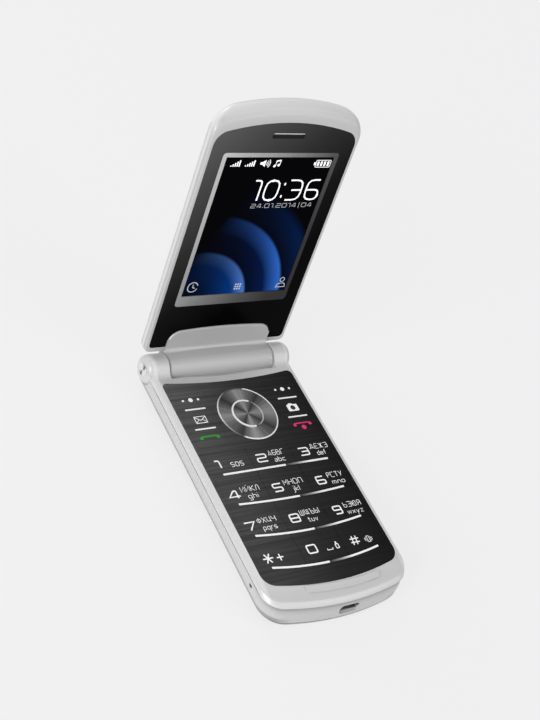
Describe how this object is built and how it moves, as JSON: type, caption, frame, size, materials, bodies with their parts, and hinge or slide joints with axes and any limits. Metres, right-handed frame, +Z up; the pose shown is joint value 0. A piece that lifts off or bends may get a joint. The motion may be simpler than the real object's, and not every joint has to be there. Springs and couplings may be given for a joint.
{
  "type": "flip phone",
  "caption": "Clamshell mobile phone with a barrel-hinged display lid, a flat keypad of travelling keys, a round navigation ring and a removable battery cover.",
  "frame": {"origin": "middle of the flat back face of the base, under the keypad", "axes": "+X right across the keypad along the hinge axis, +Y from the chin towards the hinge, +Z up out of the keypad"},
  "size_m": [0.0536, 0.1161, 0.0969],
  "materials": {
    "shell": "satin",
    "keypad": "brushed print under clear coat",
    "bright_trim": "polished",
    "spun_metal": "spun",
    "lens": "gloss",
    "bezel": "satin",
    "screen": "gloss, lit from behind",
    "grille": "woven",
    "torch": "clear",
    "steel": "plain",
    "board": "plain",
    "film": "plain",
    "mat": "plain",
    "inner_black": "plain",
    "cell": "wrapped",
    "panel": "plain"
  },
  "bodies": {
    "base": {"front_housing": "shell", "rear_housing": "shell", "bumper_strip": "shell", "keypad_plate": "keypad", "row_strips": "bright_trim", "nav_trim": "bright_trim", "hinge_cap_left": "spun_metal", "hinge_cap_right": "spun_metal", "shield_can": "steel", "sim_holder": "steel", "usb_socket": "steel", "hinge_module": "steel", "hinge_pin": "steel", "microphone": "steel", "vibration_motor": "steel", "main_board": "board", "dome_sheet": "film", "keypad_mat": "mat", "loudspeaker": "inner_black", "battery": "cell"},
    "lid": {"lid_inner_housing": "shell", "lid_outer_cover": "shell", "display_lens": "lens", "display_bezel": "bezel", "display_window": "screen", "lcd_panel": "panel", "earpiece_grille": "grille", "earpiece_speaker": "steel", "lid_board": "board", "lid_magnet": "steel", "camera_module": "inner_black", "camera_ring": "bright_trim", "camera_window": "lens", "torch_lens": "torch", "hinge_flex": "film"},
    "cover": {"battery_cover": "shell"},
    "key_1": {"key_1": "keypad"},
    "key_2": {"key_2": "keypad"},
    "key_3": {"key_3": "keypad"},
    "key_4": {"key_4": "keypad"},
    "key_5": {"key_5": "keypad"},
    "key_6": {"key_6": "keypad"},
    "key_7": {"key_7": "keypad"},
    "key_8": {"key_8": "keypad"},
    "key_9": {"key_9": "keypad"},
    "key_star": {"key_star": "keypad"},
    "key_0": {"key_0": "keypad"},
    "key_hash": {"key_hash": "keypad"},
    "soft_key_left": {"soft_key_left": "keypad"},
    "soft_key_right": {"soft_key_right": "keypad"},
    "message_key": {"message_key": "keypad"},
    "camera_key": {"camera_key": "keypad"},
    "call_key": {"call_key": "keypad"},
    "end_key": {"end_key": "keypad"},
    "nav_ring": {"nav_ring": "spun_metal"},
    "ok_button": {"ok_button": "spun_metal", "ok_trim": "bright_trim"}
  },
  "joints": [
    {"name": "lid_hinge", "type": "hinge", "parent": "base", "child": "lid", "pos_m": [0, 0.044, 0.0081], "axis": [1, 0, 0], "range_deg": [-55, 100]},
    {"name": "cover_slide", "type": "slide", "parent": "base", "child": "cover", "axis": [0, -1, 0], "range_m": [0, 0.03]},
    {"name": "key_1_press", "type": "slide", "parent": "base", "child": "key_1", "axis": [0, 0, -1], "range_m": [0, 0.0003], "stiffness_N_per_m": 3000},
    {"name": "key_2_press", "type": "slide", "parent": "base", "child": "key_2", "axis": [0, 0, -1], "range_m": [0, 0.0003], "stiffness_N_per_m": 3000},
    {"name": "key_3_press", "type": "slide", "parent": "base", "child": "key_3", "axis": [0, 0, -1], "range_m": [0, 0.0003], "stiffness_N_per_m": 3000},
    {"name": "key_4_press", "type": "slide", "parent": "base", "child": "key_4", "axis": [0, 0, -1], "range_m": [0, 0.0003], "stiffness_N_per_m": 3000},
    {"name": "key_5_press", "type": "slide", "parent": "base", "child": "key_5", "axis": [0, 0, -1], "range_m": [0, 0.0003], "stiffness_N_per_m": 3000},
    {"name": "key_6_press", "type": "slide", "parent": "base", "child": "key_6", "axis": [0, 0, -1], "range_m": [0, 0.0003], "stiffness_N_per_m": 3000},
    {"name": "key_7_press", "type": "slide", "parent": "base", "child": "key_7", "axis": [0, 0, -1], "range_m": [0, 0.0003], "stiffness_N_per_m": 3000},
    {"name": "key_8_press", "type": "slide", "parent": "base", "child": "key_8", "axis": [0, 0, -1], "range_m": [0, 0.0003], "stiffness_N_per_m": 3000},
    {"name": "key_9_press", "type": "slide", "parent": "base", "child": "key_9", "axis": [0, 0, -1], "range_m": [0, 0.0003], "stiffness_N_per_m": 3000},
    {"name": "key_star_press", "type": "slide", "parent": "base", "child": "key_star", "axis": [0, 0, -1], "range_m": [0, 0.0003], "stiffness_N_per_m": 3000},
    {"name": "key_0_press", "type": "slide", "parent": "base", "child": "key_0", "axis": [0, 0, -1], "range_m": [0, 0.0003], "stiffness_N_per_m": 3000},
    {"name": "key_hash_press", "type": "slide", "parent": "base", "child": "key_hash", "axis": [0, 0, -1], "range_m": [0, 0.0003], "stiffness_N_per_m": 3000},
    {"name": "soft_key_left_press", "type": "slide", "parent": "base", "child": "soft_key_left", "axis": [0, 0, -1], "range_m": [0, 0.0003], "stiffness_N_per_m": 3000},
    {"name": "soft_key_right_press", "type": "slide", "parent": "base", "child": "soft_key_right", "axis": [0, 0, -1], "range_m": [0, 0.0003], "stiffness_N_per_m": 3000},
    {"name": "message_key_press", "type": "slide", "parent": "base", "child": "message_key", "axis": [0, 0, -1], "range_m": [0, 0.0003], "stiffness_N_per_m": 3000},
    {"name": "camera_key_press", "type": "slide", "parent": "base", "child": "camera_key", "axis": [0, 0, -1], "range_m": [0, 0.0003], "stiffness_N_per_m": 3000},
    {"name": "call_key_press", "type": "slide", "parent": "base", "child": "call_key", "axis": [0, 0, -1], "range_m": [0, 0.0003], "stiffness_N_per_m": 3000},
    {"name": "end_key_press", "type": "slide", "parent": "base", "child": "end_key", "axis": [0, 0, -1], "range_m": [0, 0.0003], "stiffness_N_per_m": 3000},
    {"name": "nav_ring_press", "type": "slide", "parent": "base", "child": "nav_ring", "axis": [0, 0, -1], "range_m": [0, 0.00025], "stiffness_N_per_m": 3000},
    {"name": "ok_button_press", "type": "slide", "parent": "base", "child": "ok_button", "axis": [0, 0, -1], "range_m": [0, 0.00025], "stiffness_N_per_m": 3000}
  ]
}
